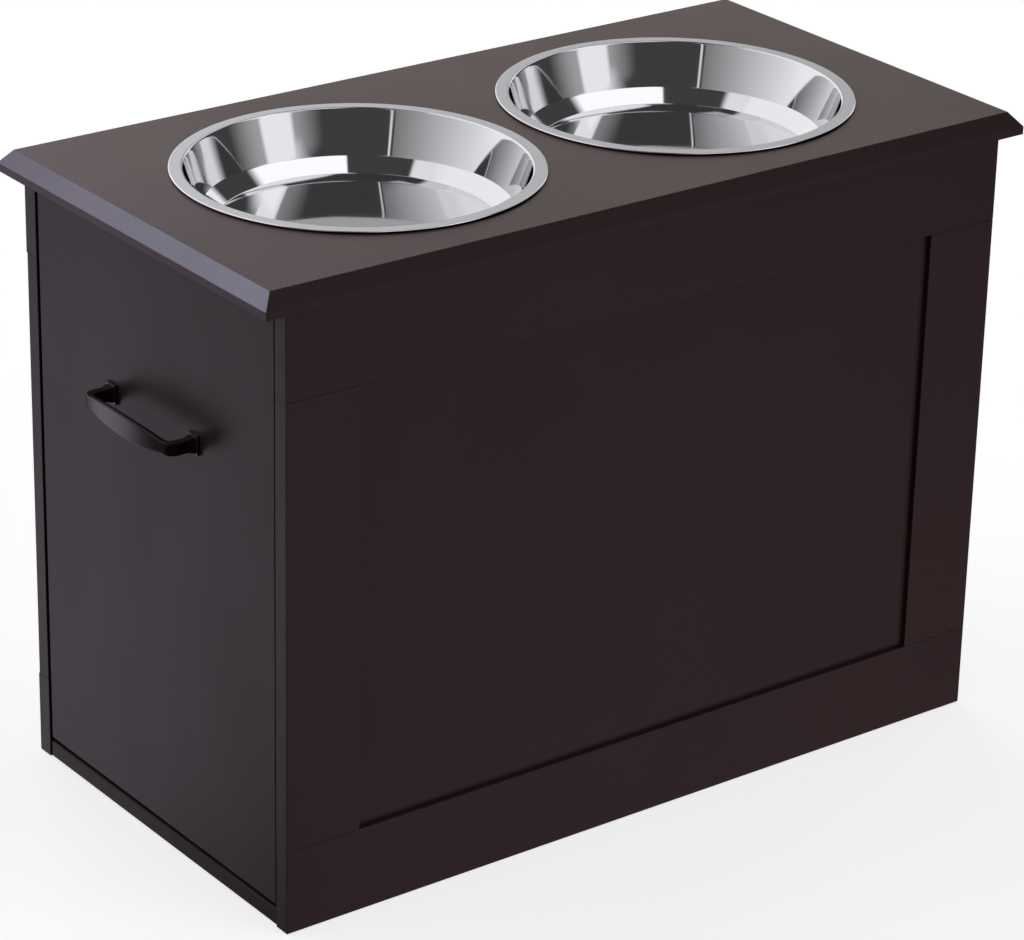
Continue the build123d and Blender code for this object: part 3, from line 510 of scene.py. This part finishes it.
# Soft lamps: place, what each aims at, size, power, colour, the group it lights, and whether
# it is seen in reflections.  The group "boards" is every node but the bowls and the handle, and
# "fronts" has the handle too.
LAMPS = {
    "end_light": ((-0.84, 1.05, -0.22), "end", (0.42, 0.9), 2.0, (0.88, 0.86, 1.0), "fronts", True),
    "front_light": ((0.55, -1.27, -0.34), "front", (1.5, 1.2), 2.9, (0.95, 0.85, 0.86), "fronts", True),
    "top_light": ((0.65, 0.98, 0.83), "top", (1.2, 0.6), 1.6, (0.96, 0.90, 0.77), "boards", True),
    "bevel_light": ((-0.89, 0.68, 0.99), "bevel", (0.6, 0.4), 13.5, (0.70, 0.75, 1.0), "top_board", True),
    "low_fill": ((0.5, -2.0, -0.5), "middle", (1.0, 1.0), 12.0, (1.0, 0.96, 0.98), "fronts", False),
    "end_fill": ((-2.2, -0.2, 1.2), "end", (1.4, 1.4), 7.0, (0.80, 0.92, 1.0), "boards", False),
    "rear_fill": ((0.0, 2.0, 1.6), "top", (1.0, 1.0), 22.0, WHITE, "boards", False),
}


def soft_band(tree, value, low, high, softness):
    """One between low and high, fading to nothing over the softness outside them."""
    middle, half = (low + high) / 2, (high - low) / 2
    away = math_node(tree, "ABSOLUTE", math_node(tree, "SUBTRACT", value, middle))
    return map_range(tree, away, half, half + softness, 1.0, 0.0, "SMOOTHSTEP")


def world_angles(tree):
    """Azimuth and elevation of the world's direction, in degrees."""
    direction = tree.nodes.new("ShaderNodeSeparateXYZ")
    tree.links.new(tree.nodes.new("ShaderNodeTexCoord").outputs["Generated"], direction.inputs[0])
    turned = math_node(tree, "ARCTAN2", direction.outputs[1], direction.outputs[0])
    wrapped = tree.nodes.new("ShaderNodeMath")
    wrapped.operation = "WRAP"
    tree.links.new(math_node(tree, "MULTIPLY", turned, 180 / pi), wrapped.inputs[0])
    wrapped.inputs[1].default_value = AZIMUTH_TOP
    wrapped.inputs[2].default_value = AZIMUTH_BOTTOM
    raised = math_node(tree, "ARCSINE", direction.outputs[2])
    return wrapped.outputs[0], math_node(tree, "MULTIPLY", raised, 180 / pi)


def room_light(tree):
    """Brightness of a dark room with a graded flat and soft windows."""
    azimuth, elevation = world_angles(tree)
    ramp = map_range(tree, azimuth, RAMP_FROM, RAMP_TO, RAMP_LOW, RAMP_HIGH)
    on_flat = math_node(tree, "LESS_THAN", azimuth, RAMP_FROM)
    height = soft_band(tree, elevation, RAMP_BOTTOM, RAMP_TOP, RAMP_SOFTNESS)
    flat = math_node(tree, "MULTIPLY", math_node(tree, "MULTIPLY", ramp, on_flat), height)
    light = math_node(tree, "ADD", flat, DARKNESS)
    for left, right, side_softness, low, high, end_softness, brightness in WINDOWS.values():
        window = math_node(tree, "MULTIPLY", soft_band(tree, azimuth, left, right, side_softness),
                           soft_band(tree, elevation, low, high, end_softness))
        light = math_node(tree, "MAXIMUM", light, math_node(tree, "MULTIPLY", window, brightness))
    return light


def studio_world():
    """White to the camera, the room to reflections, and the room dimmed to diffuse rays."""
    world = bpy.data.worlds.new("studio")
    bpy.context.scene.world = world
    world.use_nodes = True
    tree = world.node_tree
    path = tree.nodes.new("ShaderNodeLightPath")
    lost = math_node(tree, "MULTIPLY", path.outputs["Is Diffuse Ray"], 1.0 - DIFFUSE_SHARE)
    strength = math_node(tree, "MULTIPLY", room_light(tree), math_node(tree, "SUBTRACT", 1.0, lost))
    room = tree.nodes["Background"]
    tree.links.new(strength, room.inputs["Strength"])
    room.inputs["Color"].default_value = (*ROOM_TINT, 1)

    backdrop = tree.nodes.new("ShaderNodeBackground")
    backdrop.inputs["Color"].default_value = (*WHITE, 1)
    chooser = tree.nodes.new("ShaderNodeMixShader")
    tree.links.new(path.outputs["Is Camera Ray"], chooser.inputs[0])
    tree.links.new(room.outputs[0], chooser.inputs[1])
    tree.links.new(backdrop.outputs[0], chooser.inputs[2])
    tree.links.new(chooser.outputs[0], tree.nodes["World Output"].inputs["Surface"])


def studio_floor():
    """Pale glowing floor just under the feeder, seen by the camera and left out of the bowls."""
    mesh = bpy.data.meshes.new("floor")
    signs = [(-1, -1), (1, -1), (1, 1), (-1, 1)]
    corners = [(x * FLOOR_REACH, y * FLOOR_REACH, -FLOOR_DROP) for x, y in signs]
    mesh.from_pydata(corners, [], [(0, 1, 2, 3)])
    surface = Surface("floor", FLOOR_PALE, roughness=0.9, specular=0.0)
    surface.shader.inputs["Emission Color"].default_value = (*WHITE, 1)
    surface.shader.inputs["Emission Strength"].default_value = FLOOR_GLOW
    mesh.materials.append(surface.material)
    floor = bpy.data.objects.new("floor", mesh)
    bpy.context.scene.collection.objects.link(floor)
    floor.visible_glossy = False
    floor.visible_diffuse = False
    floor.visible_shadow = False
    floor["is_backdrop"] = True


def lit_group(name, nodes):
    """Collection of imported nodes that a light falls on."""
    group = bpy.data.collections.new(name)
    for node in nodes:
        group.objects.link(frame["nodes"][node])
    return group


def softbox(name, place, aim, size, power, colour, receivers, glossy):
    """Soft rectangular lamp that lights the receivers alone."""
    light = bpy.data.lights.new(name, "AREA")
    light.shape = "RECTANGLE"
    light.size, light.size_y = size
    light.energy = power
    light.color = colour
    box = bpy.data.objects.new(name, light)
    box.location = place
    box.rotation_euler = (aim - Vector(place)).to_track_quat("-Z", "Y").to_euler()
    box.visible_camera = False
    box.visible_glossy = glossy
    box.light_linking.receiver_collection = receivers
    bpy.context.scene.collection.objects.link(box)


def studio_lights():
    """The lamps of the table, aimed at the feeder's sides.  The bowls see none of them."""
    low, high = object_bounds()
    middle = (low + high) / 2
    aims = {
        "middle": middle,
        "end": Vector((low.x, 0, middle.z)),
        "front": Vector((0, low.y, middle.z)),
        "top": Vector((0, 0, high.z)),
        "bevel": Vector((low.x, 0, high.z)),
    }
    matt = [node for node in frame["nodes"] if not node.startswith("bowl_") and node != "drawer_handle"]
    groups = {
        "boards": lit_group("lit_boards", matt),
        "fronts": lit_group("lit_fronts", matt + ["drawer_handle"]),
        "top_board": lit_group("lit_top_board", ["top_board"]),
    }
    for name, (place, aim, size, power, colour, group, glossy) in LAMPS.items():
        softbox(name, place, aims[aim], size, power, colour, groups[group], glossy)


def photo_camera():
    """Camera at the photograph's place, aimed by yaw, pitch and roll."""
    forward = Vector((cos(CAMERA_PITCH) * cos(CAMERA_YAW), cos(CAMERA_PITCH) * sin(CAMERA_YAW),
                      -sin(CAMERA_PITCH)))
    level = Vector((sin(CAMERA_YAW), -cos(CAMERA_YAW), 0))
    upright = level.cross(forward)
    right = level * cos(CAMERA_ROLL) + upright * sin(CAMERA_ROLL)
    up = upright * cos(CAMERA_ROLL) - level * sin(CAMERA_ROLL)
    data = bpy.data.cameras.new("camera")
    data.sensor_width = SENSOR_WIDTH
    data.lens = FOCAL_PIXELS / IMAGE_WIDTH * SENSOR_WIDTH
    data.clip_end = CLIP_END
    camera = bpy.data.objects.new("camera", data)
    axes = Matrix((right, up, -forward)).transposed().to_4x4()
    camera.matrix_world = Matrix.Translation(CAMERA_PLACE) @ axes
    bpy.context.scene.collection.objects.link(camera)
    bpy.context.scene.camera = camera


dress_frame()
for side in ("left", "right"):
    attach(turned_bowl(side), f"{side}_bowl")
studio_world()
studio_floor()
studio_lights()
photo_camera()
bpy.context.scene.view_settings.view_transform = "Standard"
